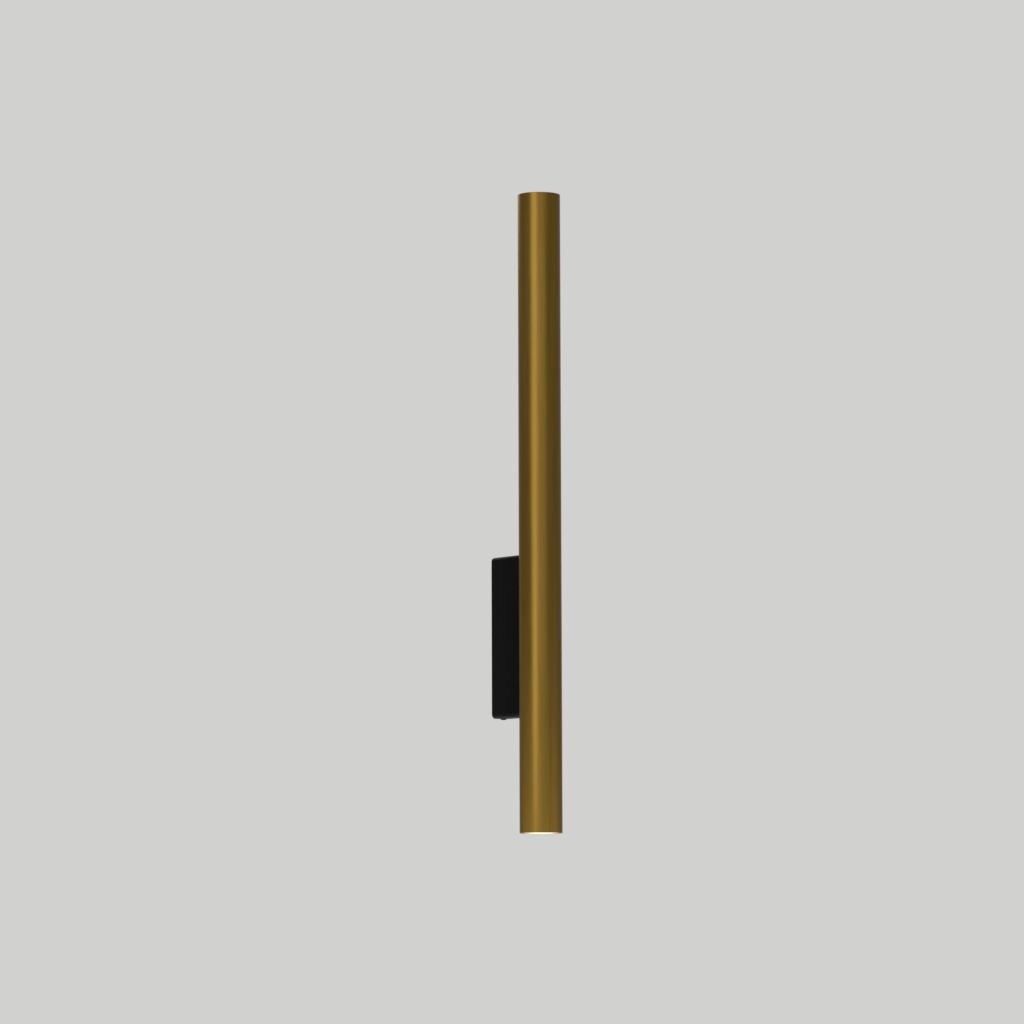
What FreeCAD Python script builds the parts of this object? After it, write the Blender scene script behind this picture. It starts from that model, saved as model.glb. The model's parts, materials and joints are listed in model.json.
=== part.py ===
import FreeCAD, Part
import math
import os

# Tube wall light with a lamp at each end of the tube.
# Sizes are in millimetres. X points right, Y into the wall, Z up.
# The origin is on the wall, behind the middle of the box.

vec = FreeCAD.Vector

# Tube
tube_diameter = 40.0
tube_wall = 1.25
tube_length = 600.0
tube_below = 185.0  # from the middle of the box down to the tube's lower end
rim_bevel = 0.3

# Wall box
box_width = 20.0
box_height = 152.0
box_depth = 40.0  # from the wall to the nearest point of the tube
box_wall = 1.5
box_front = 2.5  # thinnest place of the front, behind the hollow for the tube
box_corner = 4.0
cover_screw_out = 5.0  # from the wall to the axis of the cover screw

# Wall bracket
bracket_thickness = 1.5
bend_inside = 1.0
ear_depth = 10.0
shoulder_drop = 3.2  # from the ear's outer face down to where the plate is full width
wall_slot_width = 4.5
wall_slot_length = 9.0
wall_slot_inset = 14.2  # from the ear's outer face to the middle of a slot
hook_height = 0.9  # how far the upper ear's end is turned up, to hold the box

# Supply side
cable_bore = 7.5
grommet_wall = 1.25
grommet_flange = 1.5  # how far the flange reaches past the neck
grommet_flange_height = 2.0
supply_space = 4.5  # between the grommet and the terminal block

# Terminal block
terminal_height = 18.0  # along the leads
terminal_depth = 12.0
terminal_base = 3.0
insert_bore = 3.8
insert_wall = 0.6
insert_length = 14.0
pole_wall = 1.0  # outside a brass sleeve
clamp_spacing = 8.0  # between the two clamp screws of a pole
clamp_slot = 0.8  # width and depth of a clamp screw's slot, and how deep it lies in its well

# Earth terminal
earth_height = 24.0  # above the middle of the box
earth_collar_height = 1.5
earth_collar_wall = 1.6
earth_washer_thickness = 0.8
earth_washer_reach = 0.8  # past the screw head

# Leads and the bush they run through
core_diameter = 2.2
core_pitch = 2.4
conductor_diameter = 1.0
conductor_length = 7.0
lead_bend = 9.0  # inner bend radius between bush and terminal block
lead_straight = 2.8  # between that bend and the terminal block
tube_bend = 8.0  # bend radius inside the tube
bush_bore = 8.0
bush_wall = 1.25
bush_flange = 1.5
bush_flange_height = 1.5
bush_stand_out = 1.0  # past the nut bar

# Tube fixing
tube_screw_height = 45.0  # above and below the middle of the box
nut_bar_width = 16.0
nut_bar_thickness = 5.0
nut_bar_end = 10.0  # from a tube screw to the bar's end

# Screws
small_thread = 3.0
large_thread = 4.0
head_per_thread = 1.75
head_height_per_thread = 0.35
key_per_thread = 0.6  # across the flats of the hexagon recess
key_sides = 6
key_depth_per_head = 0.7

# Lamp
lens_recess = 0.2  # from the tube's rim in to the lens
lens_flange = 1.5  # thickness of the lens's wide front
lens_spigot = 2.0  # how far the lens reaches into the housing
lens_spigot_bore = 29.0  # the lens is hollow behind its front, over the light sources
lens_edge = 0.3
lamp_length = 48.0  # without the lens
lamp_band = 10.0  # straight part behind the face
lamp_neck_diameter = 24.0
lamp_neck_length = 4.0
lamp_base_diameter = 21.0
lamp_base_length = 9.0
fin_count = 8
fin_groove_width = 3.0
fin_groove_depth = 1.5
fin_groove_inset = 1.5
lens_rim = 1.2  # wall of the housing round the lens's spigot
lens_step = 1.1
board_thickness = 1.6
board_depth = 9.0  # from the lamp's face to the floor under the board
light_count = 3
light_circle = 7.9
light_size = 3.5
light_height = 0.9

# Twist lock
pin_circle = 5.0
pin_neck_diameter = 3.0
pin_head_diameter = 5.0
pin_head_height = 2.0
pin_root = 4.0
pin_bevel = 0.5
lock_turn = 35.0  # degrees from the entry hole to the locked place

# Socket
socket_plate = 3.0
socket_height = 10.7
socket_wall = 2.2
barrier_thickness = 1.6
contact_thickness = 0.5
contact_width = 4.0
contact_reach = 1.9  # from the lead's hole to the contact's bend
back_thickness = 1.5
socket_screw_grip = 5.0
socket_screw_run_out = 1.0  # how far the tapped hole goes past the screw

# Carrier and centring ring
carrier_wall = 2.0
carrier_disc = 1.5
carrier_height = 10.0
carrier_opening = 7.0
carrier_screw_length = 4.5
ring_wall = 0.9
ring_height = 6.0

# Clearances
seat_gap = 0.05  # between curved faces that seat on each other
slip_gap = 0.3  # between the box and the bracket inside it
turn_gap = 0.3  # between the lamp and what it turns in
chamber_gap = 0.7  # between the pins' heads and the socket's chamber
hole_gap = 0.2  # round a screw in a plain hole
lead_end_gap = 0.1  # a lead meets its contact a little aslant
cut_margin = 1.0  # how far a cut starts outside the piece

# Worked out from the sizes above
tube_radius = tube_diameter / 2
bore_radius = tube_radius - tube_wall
axis_out = box_depth + tube_radius
tube_top = tube_length - tube_below
seat_radius = bore_radius - seat_gap
cavity_half_width = box_width / 2 - box_wall
cavity_half_height = box_height / 2 - box_wall
cavity_corner = box_corner - box_wall
front_inside = box_depth - box_front
ear_outside = cavity_half_height - slip_gap
bracket_half_width = cavity_half_width - slip_gap
ear_half_width = cavity_half_width - cavity_corner
wall_slot_spacing = 2 * (ear_outside - wall_slot_inset)
core_radius = core_diameter / 2
bush_bore_radius = bush_bore / 2
bush_radius = bush_bore_radius + bush_wall
bar_face = box_depth + tube_wall + nut_bar_thickness
grommet_bore_radius = cable_bore / 2
grommet_neck_radius = grommet_bore_radius + grommet_wall
grommet_flange_radius = grommet_neck_radius + grommet_flange
terminal_half_width = bracket_half_width - slip_gap
insert_radius = insert_bore / 2 + insert_wall
pole_x = terminal_half_width - pole_wall - insert_radius
terminal_top = -(core_pitch / 2 + lead_bend + lead_straight)
terminal_middle = terminal_top - terminal_height / 2
pole_out = bracket_thickness + terminal_base + insert_radius
fixing_seat = pole_out + insert_radius
cable_z = terminal_top - terminal_height - supply_space - grommet_flange_radius
lens_radius = bore_radius - turn_gap
lamp_recess = lens_recess + lens_flange
lamp_radius = seat_radius - ring_wall - turn_gap
lamp_pocket = lamp_radius - lens_rim
base_depth = lamp_recess + lamp_length
socket_face = base_depth + turn_gap
chamber_radius = pin_circle + pin_head_diameter / 2 + chamber_gap
chamber_top = socket_face + socket_plate
socket_end = socket_face + socket_height
carrier_face = socket_end + back_thickness
carrier_end = carrier_face + carrier_height
carrier_screw_depth = carrier_face + (carrier_disc + carrier_height) / 2
socket_screw_x = chamber_radius + socket_wall + small_thread / 2
pin_neck_length = 2 * turn_gap + socket_plate
head_end = base_depth + pin_neck_length + pin_head_height
board_top = lamp_recess + board_depth - board_thickness


def rounded_wire(corners, closed):
    """Straight runs joined by tangent arcs. Each corner is a point and a radius."""
    count = len(corners)
    trims = []
    for i, (point, radius) in enumerate(corners):
        if radius == 0 or (not closed and i in (0, count - 1)):
            trims.append((point, None, point))
            continue
        back = (corners[i - 1][0] - point).normalize()
        ahead = (corners[(i + 1) % count][0] - point).normalize()
        half = back.getAngle(ahead) / 2
        middle = (back + ahead).normalize()
        trim = radius / math.tan(half)
        crown = point + middle * (radius / math.sin(half) - radius)
        trims.append((point + back * trim, crown, point + ahead * trim))
    edges = []
    for i, (start, crown, end) in enumerate(trims):
        if crown is not None:
            edges.append(Part.Arc(start, crown, end).toShape())
        if closed or i < count - 1:
            following = trims[(i + 1) % count][0]
            if end.distanceToPoint(following) > 1e-6:
                edges.append(Part.LineSegment(end, following).toShape())
    return Part.Wire(edges)


def prism(corners, direction):
    """A closed outline with rounded corners, drawn out along a direction."""
    return Part.Face(rounded_wire(corners, True)).extrude(direction)


def turned(corners):
    """An outline of radius, height and bevel, turned about the Z axis."""
    outline = []
    for i, (radius, z, bevel) in enumerate(corners):
        point = vec(radius, 0, z)
        if bevel == 0:
            outline.append(point)
            continue
        for neighbour in (corners[i - 1], corners[(i + 1) % len(corners)]):
            along = vec(neighbour[0], 0, neighbour[1]) - point
            outline.append(point + along.normalize() * bevel)
    face = Part.Face(Part.makePolygon(outline + outline[:1]))
    return face.revolve(vec(0, 0, 0), vec(0, 0, 1), 360)


def rod(radius, start, end):
    """A round bar between two points."""
    along = end - start
    return Part.makeCylinder(radius, along.Length, start, along)


def placed(shape, place, direction):
    """Moves a shape made at the origin, with its +Z turned to a direction."""
    return shape.transformed(FreeCAD.Placement(place, FreeCAD.Rotation(vec(0, 0, 1), direction)).toMatrix())


def turned_about_z(shape, degrees):
    turn = FreeCAD.Rotation(vec(0, 0, 1), degrees)
    return shape.transformed(FreeCAD.Placement(vec(0, 0, 0), turn).toMatrix())


def on_circle(radius, degrees, z):
    angle = math.radians(degrees)
    return vec(radius * math.cos(angle), radius * math.sin(angle), z)


def screw(thread, length):
    """A low-head screw with a hexagon recess. Its head's underside is at the origin and it points down."""
    shank = thread / 2 - seat_gap
    head = thread * head_per_thread / 2
    height = thread * head_height_per_thread
    outline = [
        (0, -length, 0),
        (shank, -length, 0),
        (shank, 0, 0),
        (head, 0, 0),
        (head, height, 0),
        (0, height, 0),
    ]
    key_radius = thread * key_per_thread / 2 / math.cos(math.pi / key_sides)
    key_depth = height * key_depth_per_head
    corners = [(on_circle(key_radius, 360 * i / key_sides, height - key_depth), 0) for i in range(key_sides)]
    return turned(outline).cut(prism(corners, vec(0, 0, 2 * key_depth)))


def block_on_wall(half_width, half_height, corner, near, far):
    """A block with rounded corners, from one distance from the wall to another."""
    corners = [
        (vec(x * half_width, -near, z * half_height), corner)
        for x, z in ((-1, -1), (1, -1), (1, 1), (-1, 1))
    ]
    return prism(corners, vec(0, near - far, 0))


def tube_space(radius, low, high):
    """A cylinder on the tube's axis."""
    return rod(radius, vec(0, -axis_out, low), vec(0, -axis_out, high))


# Tube, box and bracket


def carrier_screw_heights():
    """Where the carrier screws enter the tube's wall side, for both ends."""
    return [tube_top - carrier_screw_depth, carrier_screw_depth - tube_below]


def tube():
    outline = [
        (bore_radius, -tube_below, 0),
        (tube_radius, -tube_below, rim_bevel),
        (tube_radius, tube_top, rim_bevel),
        (bore_radius, tube_top, 0),
    ]
    pipe = turned(outline).translated(vec(0, -axis_out, 0))
    hole = large_thread / 2 + hole_gap
    for z in (-tube_screw_height, tube_screw_height):
        pipe = pipe.cut(rod(hole, vec(0, -box_depth, z), vec(0, -axis_out, z)))
    pipe = pipe.cut(rod(bush_radius + seat_gap, vec(0, -front_inside, 0), vec(0, -axis_out, 0)))
    for z in carrier_screw_heights():
        pipe = pipe.cut(rod(small_thread / 2 + hole_gap, vec(0, -axis_out, z), vec(0, 0, z)))
    return pipe


def wall_box():
    half_width = box_width / 2
    half_height = box_height / 2
    outside = block_on_wall(half_width, half_height, box_corner, 0, axis_out)
    inside = block_on_wall(cavity_half_width, cavity_half_height, cavity_corner, -cut_margin, front_inside)
    box = outside.cut(tube_space(tube_radius + seat_gap, -box_height, box_height)).cut(inside)
    hole = large_thread / 2 + hole_gap
    for z in (-tube_screw_height, tube_screw_height):
        box = box.cut(rod(hole, vec(0, 0, z), vec(0, -axis_out, z)))
    box = box.cut(rod(bush_radius + seat_gap, vec(0, 0, 0), vec(0, -axis_out, 0)))
    screw_line = vec(0, -cover_screw_out, -box_height), vec(0, -cover_screw_out, 0)
    return box.cut([rod(small_thread / 2 + hole_gap, *screw_line), hook(slip_gap)])


def hook(gap):
    """The turned-up end of the bracket's upper ear, or with a gap the groove for it in the box."""
    thickness = bracket_thickness + 2 * gap
    corner = vec(-ear_half_width - gap, -ear_depth - gap, ear_outside)
    return Part.makeBox(2 * (ear_half_width + gap), thickness, hook_height + gap, corner)


def wall_slot(z):
    """The space of one upright slot for a wall screw."""
    radius = wall_slot_width / 2
    slot = block_on_wall(radius, wall_slot_length / 2, radius, -cut_margin, bracket_thickness + cut_margin)
    return slot.translated(vec(0, 0, z))


def wall_bracket():
    inner_z = ear_outside - bracket_thickness
    bend_outside = bend_inside + bracket_thickness
    shoulder = ear_outside - shoulder_drop
    plate = block_on_wall(bracket_half_width, shoulder, bend_inside, 0, bracket_thickness)
    strap = prism(
        [
            (vec(-ear_half_width, 0, -ear_outside), bend_outside),
            (vec(-ear_half_width, 0, ear_outside), bend_outside),
            (vec(-ear_half_width, -ear_depth, ear_outside), 0),
            (vec(-ear_half_width, -ear_depth, inner_z), 0),
            (vec(-ear_half_width, -bracket_thickness, inner_z), bend_inside),
            (vec(-ear_half_width, -bracket_thickness, -inner_z), bend_inside),
            (vec(-ear_half_width, -ear_depth, -inner_z), 0),
            (vec(-ear_half_width, -ear_depth, -ear_outside), 0),
        ],
        vec(2 * ear_half_width, 0, 0),
    )
    collar_radius = large_thread / 2 + earth_collar_wall
    collar_end = vec(0, -(bracket_thickness + earth_collar_height), earth_height)
    collar = rod(collar_radius, vec(0, 0, earth_height), collar_end)
    bracket = plate.fuse([strap, collar, hook(0)]).removeSplitter()
    for z in (-wall_slot_spacing / 2, wall_slot_spacing / 2):
        bracket = bracket.cut(wall_slot(z))
    for radius, z in (
        (grommet_neck_radius, cable_z),
        (small_thread / 2, terminal_middle),
        (large_thread / 2, earth_height),
    ):
        bracket = bracket.cut(rod(radius, vec(0, cut_margin, z), vec(0, -ear_depth, z)))
    screw_line = vec(0, -cover_screw_out, -box_height / 2), vec(0, -cover_screw_out, 0)
    return bracket.cut(rod(small_thread / 2, *screw_line))


def cover_screw():
    """It goes up through the box into the bracket's lower ear."""
    length = box_wall + slip_gap + bracket_thickness + bend_inside
    return [placed(screw(small_thread, length), vec(0, -cover_screw_out, -box_height / 2), vec(0, 0, -1))]


# Supply side


def cable_grommet():
    top = bracket_thickness + grommet_flange_height
    outline = [
        (grommet_bore_radius, 0, 0),
        (grommet_neck_radius - seat_gap, 0, 0),
        (grommet_neck_radius - seat_gap, bracket_thickness, 0),
        (grommet_flange_radius, bracket_thickness, 0),
        (grommet_flange_radius, top, 0),
        (grommet_bore_radius, top, 0),
    ]
    return [placed(turned(outline), vec(0, 0, cable_z), vec(0, -1, 0))]


def terminal_block():
    """Two poles side by side, each with a lead way along it and two wells for clamp screws."""
    low = terminal_top - terminal_height
    back = -bracket_thickness
    front = back - terminal_depth
    half_width = terminal_half_width
    block = prism(
        [
            (vec(-half_width, back, low), 0),
            (vec(half_width, back, low), 0),
            (vec(half_width, front, low), pole_wall),
            (vec(-half_width, front, low), pole_wall),
        ],
        vec(0, 0, terminal_height),
    )
    for x in (-pole_x, pole_x):
        way = vec(x, -pole_out, low), vec(x, -pole_out, terminal_top)
        block = block.cut(rod(insert_radius + seat_gap, *way))
        for z in clamp_heights():
            block = block.cut(rod(small_thread / 2 + hole_gap, vec(x, -pole_out, z), vec(x, front, z)))
    middle = vec(0, 0, terminal_middle)
    seat = middle + vec(0, -fixing_seat, 0)
    head_radius = small_thread * head_per_thread / 2 + hole_gap
    block = block.cut(rod(small_thread / 2 + hole_gap, middle, middle + vec(0, front, 0)))
    return [block.cut(rod(head_radius, seat, seat + vec(0, -terminal_depth, 0)))]


def clamp_heights():
    return [terminal_middle - clamp_spacing / 2, terminal_middle + clamp_spacing / 2]


def terminal_inserts():
    """Brass sleeves with a tapped hole for each clamp screw."""
    sleeves = []
    for x in (-pole_x, pole_x):
        low = vec(x, -pole_out, terminal_middle - insert_length / 2)
        high = vec(x, -pole_out, terminal_middle + insert_length / 2)
        sleeve = rod(insert_radius, low, high).cut(rod(insert_bore / 2, low, high))
        for z in clamp_heights():
            middle = vec(x, -pole_out, z)
            sleeve = sleeve.cut(rod(small_thread / 2, middle, middle - vec(0, insert_radius + cut_margin, 0)))
        sleeves.append(sleeve)
    return sleeves


def terminal_screws():
    """Slotted clamp screws without heads, let into the wells."""
    radius = small_thread / 2 - seat_gap
    tip_out = pole_out + (core_pitch + conductor_diameter) / 2
    end_out = bracket_thickness + terminal_depth - clamp_slot
    slot = Part.makeBox(small_thread, clamp_slot, clamp_slot)
    screws = []
    for x in (-pole_x, pole_x):
        for z in clamp_heights():
            shank = rod(radius, vec(x, -tip_out, z), vec(x, -end_out, z))
            cut = slot.translated(vec(x - small_thread / 2, -end_out, z - clamp_slot / 2))
            screws.append(shank.cut(cut))
    return screws


def terminal_fixing_screw():
    place = vec(0, -fixing_seat, terminal_middle)
    return [placed(screw(small_thread, fixing_seat - slip_gap), place, vec(0, -1, 0))]


def earth_washer():
    inside = vec(0, -bracket_thickness - earth_collar_height, earth_height)
    outside = inside - vec(0, earth_washer_thickness, 0)
    disc = rod(large_thread * head_per_thread / 2 + earth_washer_reach, inside, outside)
    return [disc.cut(rod(large_thread / 2 + hole_gap, inside, outside))]


def earth_screw():
    under_head = bracket_thickness + earth_collar_height + earth_washer_thickness
    one = screw(large_thread, under_head - slip_gap)
    return [placed(one, vec(0, -under_head, earth_height), vec(0, -1, 0))]


# Tube fixing and leads


def tube_screws():
    one = screw(large_thread, box_front + tube_wall + nut_bar_thickness)
    return [
        placed(one, vec(0, -front_inside, z), vec(0, 1, 0))
        for z in (-tube_screw_height, tube_screw_height)
    ]


def nut_bar():
    """A steel bar whose back is curved to the tube's bore, with two tapped holes and one for the bush."""
    half_length = tube_screw_height + nut_bar_end
    bar = Part.makeBox(
        nut_bar_width, bar_face - box_depth, 2 * half_length, vec(-nut_bar_width / 2, -bar_face, -half_length)
    )
    bar = bar.common(tube_space(seat_radius, -half_length, half_length))
    for z in (-tube_screw_height, tube_screw_height):
        bar = bar.cut(rod(large_thread / 2, vec(0, 0, z), vec(0, -axis_out, z)))
    return [bar.cut(rod(bush_radius + seat_gap, vec(0, 0, 0), vec(0, -axis_out, 0)))]


def lead_bush():
    length = box_front + tube_wall + nut_bar_thickness + bush_stand_out
    flange = bush_radius + bush_flange
    outline = [
        (bush_bore_radius, -length, 0),
        (bush_radius, -length, 0),
        (bush_radius, 0, 0),
        (flange, 0, 0),
        (flange, bush_flange_height, 0),
        (bush_bore_radius, bush_flange_height, 0),
    ]
    return [placed(turned(outline), vec(0, -front_inside, 0), vec(0, 1, 0))]


def round_lead(corners, radius):
    """A round lead: a straight bar for each run and a turned piece for each arc between two runs."""
    path = rounded_wire(corners, False)
    pieces = []
    for edge in path.Edges:
        start, end = edge.valueAt(edge.FirstParameter), edge.valueAt(edge.LastParameter)
        if isinstance(edge.Curve, Part.Circle):
            disc = Part.Face(Part.Wire(Part.makeCircle(radius, start, edge.tangentAt(edge.FirstParameter))))
            turn = math.degrees(edge.LastParameter - edge.FirstParameter)
            pieces.append(disc.revolve(edge.Curve.Center, edge.Curve.Axis, turn))
        else:
            pieces.append(rod(radius, start, end))
    lead = pieces[0].fuse(pieces[1:]).removeSplitter()
    expected = math.pi * radius**2 * path.Length
    print(f"lead {path.Length:.1f} mm long, volume off by {lead.Volume / expected - 1:.5f}")
    return lead


def leads(up):
    """The pair of leads from the terminal block to the socket at one end of the tube."""
    level = core_pitch / 2 if up else -core_pitch / 2
    from_wall = pole_out - level  # the upper pair takes the outer side of the bend
    run_out = bar_face + bush_stand_out + tube_bend + core_radius
    pair = []
    for side in (-1, 1):
        contact = in_row(contact_place(side if up else -side), up)
        end = contact - vec(0, 0, math.copysign(lead_end_gap, level))
        corners = [
            (vec(side * pole_x, -from_wall, terminal_top - insert_lip()), 0),
            (vec(side * pole_x, -from_wall, level), lead_bend + core_pitch / 2 + level),
            (vec(side * core_pitch / 2, -run_out, level), tube_bend),
            (end, 0),
        ]
        start = corners[0][0]
        bare = rod(conductor_diameter / 2, start, start - vec(0, 0, conductor_length))
        pair.append(round_lead(corners, core_radius).fuse(bare))
    return pair


def insert_lip():
    """How far a brass sleeve lies inside the end of its block."""
    return (terminal_height - insert_length) / 2 - seat_gap


# One end of the tube: depths are measured inwards from the tube's rim, along -Z


def in_row(point, up):
    """A point of the end's own frame, put in the row's frame. The lower end is the upper one, half turned."""
    if up:
        return vec(point.x, point.y - axis_out, point.z + tube_top)
    return vec(-point.x, point.y - axis_out, -point.z - tube_below)


def at_end(shapes, up):
    """Puts pieces made in the end's own frame at the upper or the lower end."""
    if up:
        return [shape.translated(vec(0, -axis_out, tube_top)) for shape in shapes]
    half_turn = FreeCAD.Rotation(vec(0, 1, 0), 180)
    place = FreeCAD.Placement(vec(0, -axis_out, -tube_below), half_turn)
    return [shape.transformed(place.toMatrix()) for shape in shapes]


def centring_ring():
    """It seats in the bore behind the lens, and keeps the lamp in the middle."""
    inner = seat_radius - ring_wall
    high = -lamp_recess - turn_gap
    low = high - ring_height
    outline = [
        (inner, low, 0),
        (seat_radius, low, 0),
        (seat_radius, high, 0),
        (inner, high, 0),
    ]
    return [turned(outline)]


def oblong(half_length, half_width, depth, height):
    """A bar with round ends, lying across the tube, from one depth inwards."""
    straight = half_length - half_width
    block = Part.makeBox(2 * straight, 2 * half_width, height, vec(-straight, -half_width, -depth - height))
    ends = [rod(half_width, vec(x, 0, -depth), vec(x, 0, -depth - height)) for x in (-straight, straight)]
    return block.fuse(ends).removeSplitter()


def socket_half_length():
    return socket_screw_x + small_thread / 2 + socket_wall


def socket_half_width():
    return chamber_radius + socket_wall


def keyhole():
    """The curved slot that a pin's neck turns along, and the entry hole for its head at the slot's end."""
    neck = pin_neck_diameter / 2 + turn_gap
    entry = pin_head_diameter / 2 + turn_gap
    top = -socket_face + cut_margin
    outer = pin_circle + neck
    inner = pin_circle - neck
    drop = vec(0, 0, -socket_plate - 2 * cut_margin)
    turns = 0, lock_turn / 2, lock_turn
    outer_start, outer_middle, outer_end = [on_circle(outer, turn, top) for turn in turns]
    inner_start, inner_middle, inner_end = [on_circle(inner, turn, top) for turn in turns]
    edges = [
        Part.Arc(outer_start, outer_middle, outer_end).toShape(),
        Part.LineSegment(outer_end, inner_end).toShape(),
        Part.Arc(inner_end, inner_middle, inner_start).toShape(),
        Part.Arc(inner_start, vec(pin_circle, -neck, top), outer_start).toShape(),
    ]
    slot = Part.Face(Part.Wire(edges)).extrude(drop)
    open_place = on_circle(pin_circle, lock_turn, top)
    return slot.fuse(rod(entry, open_place, open_place + drop)).removeSplitter()


def barrier_angle():
    """The wall between the two contacts stands square to the middle of a pin's travel."""
    return lock_turn / 2 + 90


def socket_body():
    """Ceramic body: a plate with two keyholes over a chamber that a wall divides."""
    body = oblong(socket_half_length(), socket_half_width(), socket_face, socket_height + back_thickness)
    chamber = rod(chamber_radius, vec(0, 0, -chamber_top), vec(0, 0, -carrier_face))
    corner = vec(-chamber_radius, -barrier_thickness / 2, -socket_end)
    barrier = Part.makeBox(2 * chamber_radius, barrier_thickness, socket_height, corner)
    body = body.cut(chamber.cut(turned_about_z(barrier, barrier_angle())))
    for turn in (0, 180):
        body = body.cut(turned_about_z(keyhole(), turn))
    for x in (-socket_screw_x, socket_screw_x):
        back = vec(x, 0, -carrier_face)
        end = back + vec(0, 0, socket_screw_grip + socket_screw_run_out)
        body = body.cut(rod(small_thread / 2, back, end))
    return [body]


def contact_place(side):
    """Where a lead meets the foot of its contact, in the end's own frame."""
    return on_circle(side * pin_circle, lock_turn / 2, -socket_end)


def socket_contacts():
    """Two C-shaped bronze springs, each with its leaf under the travel of a pin's head."""
    foot = -socket_end
    leaf = -(head_end + turn_gap)
    outer = pin_circle + contact_reach
    inner = pin_circle - contact_reach
    thick = contact_thickness
    side = -contact_width / 2
    spring = prism(
        [
            (vec(inner, side, foot), 0),
            (vec(outer, side, foot), 2 * thick),
            (vec(outer, side, leaf), 2 * thick),
            (vec(inner, side, leaf), 0),
            (vec(inner, side, leaf - thick), 0),
            (vec(outer - thick, side, leaf - thick), thick),
            (vec(outer - thick, side, foot + thick), thick),
            (vec(inner, side, foot + thick), 0),
        ],
        vec(0, contact_width, 0),
    )
    return [turned_about_z(spring, lock_turn / 2 + turn) for turn in (0, 180)]


def socket_back():
    """A round insulating plate that closes the chamber and carries the contacts."""
    plate = rod(chamber_radius - seat_gap, vec(0, 0, -socket_end), vec(0, 0, -carrier_face))
    for side in (-1, 1):
        place = contact_place(side)
        plate = plate.cut(rod(core_radius + hole_gap, place, place - vec(0, 0, back_thickness)))
    return [plate]


def socket_carrier():
    """A cup that seats in the bore, with its disc under the socket and its rim tapped on the wall side."""
    inner = seat_radius - carrier_wall
    cup = turned(
        [
            (carrier_opening, -carrier_face, 0),
            (seat_radius, -carrier_face, 0),
            (seat_radius, -carrier_end, 0),
            (inner, -carrier_end, 0),
            (inner, -carrier_face - carrier_disc, 0),
            (carrier_opening, -carrier_face - carrier_disc, 0),
        ]
    )
    for x in (-socket_screw_x, socket_screw_x):
        cup = cup.cut(rod(small_thread / 2 + hole_gap, vec(x, 0, -carrier_face), vec(x, 0, -carrier_end)))
    middle = vec(0, 0, -carrier_screw_depth)
    return [cup.cut(rod(small_thread / 2, middle, middle + vec(0, tube_radius, 0)))]


def socket_screws():
    one = screw(small_thread, carrier_disc + socket_screw_grip)
    under_disc = -carrier_face - carrier_disc
    return [placed(one, vec(x, 0, under_disc), vec(0, 0, -1)) for x in (-socket_screw_x, socket_screw_x)]


def carrier_screws():
    one = screw(small_thread, carrier_screw_length)
    under_head = tube_radius + seat_gap - axis_out
    return [placed(one, vec(0, under_head, z), vec(0, 1, 0)) for z in carrier_screw_heights()]


# Lamp, in the end's own frame


def flank():
    """The two ends of the straight flank from the band behind the face to the neck."""
    start = lamp_radius, -lamp_recess - lamp_band
    end = lamp_neck_diameter / 2, -(base_depth - lamp_base_length - lamp_neck_length)
    return start, end


def lamp_solid():
    """The outside of the lamp's housing: band behind the lens, flank, neck and twist-lock base."""
    start, end = flank()
    base = lamp_base_diameter / 2
    neck_end = -(base_depth - lamp_base_length)
    return turned(
        [
            (*start, 0),
            (*end, 0),
            (lamp_neck_diameter / 2, neck_end, 0),
            (base, neck_end, 0),
            (base, -base_depth, pin_bevel),
            (0, -base_depth, 0),
            (0, -lamp_recess, 0),
            (lamp_radius, -lamp_recess, 0),
        ]
    )


def fin_grooves():
    """Flat-bottomed grooves down the flank that leave cooling fins between them."""
    start, end = flank()
    lean = math.degrees(math.atan2(start[0] - end[0], start[1] - end[1]))
    length = math.dist(start, end) - 2 * fin_groove_inset
    corner = vec(-fin_groove_depth, -fin_groove_width / 2, fin_groove_inset)
    groove = Part.makeBox(2 * fin_groove_depth, fin_groove_width, length, corner)
    place = FreeCAD.Placement(vec(end[0], 0, end[1]), FreeCAD.Rotation(vec(0, 1, 0), lean))
    groove = groove.transformed(place.toMatrix())
    return [turned_about_z(groove, 360 * (i + 0.5) / fin_count) for i in range(fin_count)]


def lamp_shell():
    face = vec(0, 0, -lamp_recess)
    ledge = face - vec(0, 0, lens_spigot + hole_gap)
    floor = face - vec(0, 0, board_depth)
    shell = lamp_solid().cut([rod(lamp_pocket, face, ledge), rod(lamp_pocket - lens_step, face, floor)])
    shell = shell.cut(fin_grooves())
    for x in (-pin_circle, pin_circle):
        base = vec(x, 0, -base_depth)
        shell = shell.cut(rod(pin_neck_diameter / 2, base, base + vec(0, 0, pin_root)))
    return [shell]


def lamp_pins():
    """Two mushroom-headed pins, pressed into the lamp's base."""
    neck = pin_neck_diameter / 2 - seat_gap
    head = pin_head_diameter / 2
    neck_end = -base_depth - pin_neck_length
    pin = turned(
        [
            (0, -head_end, 0),
            (head, -head_end, pin_bevel),
            (head, neck_end, 0),
            (neck, neck_end, 0),
            (neck, -base_depth + pin_root, 0),
            (0, -base_depth + pin_root, 0),
        ]
    )
    return [pin.translated(vec(x, 0, 0)) for x in (-pin_circle, pin_circle)]


def led_board():
    top = -board_top
    floor = -(lamp_recess + board_depth)
    radius = lamp_pocket - lens_step - hole_gap
    return [rod(radius, vec(0, 0, floor), vec(0, 0, top))]


def led_chips():
    corner = vec(light_circle - light_size / 2, -light_size / 2, -board_top)
    chip = Part.makeBox(light_size, light_size, light_height, corner)
    return [turned_about_z(chip, 360 * i / light_count) for i in range(light_count)]


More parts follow.
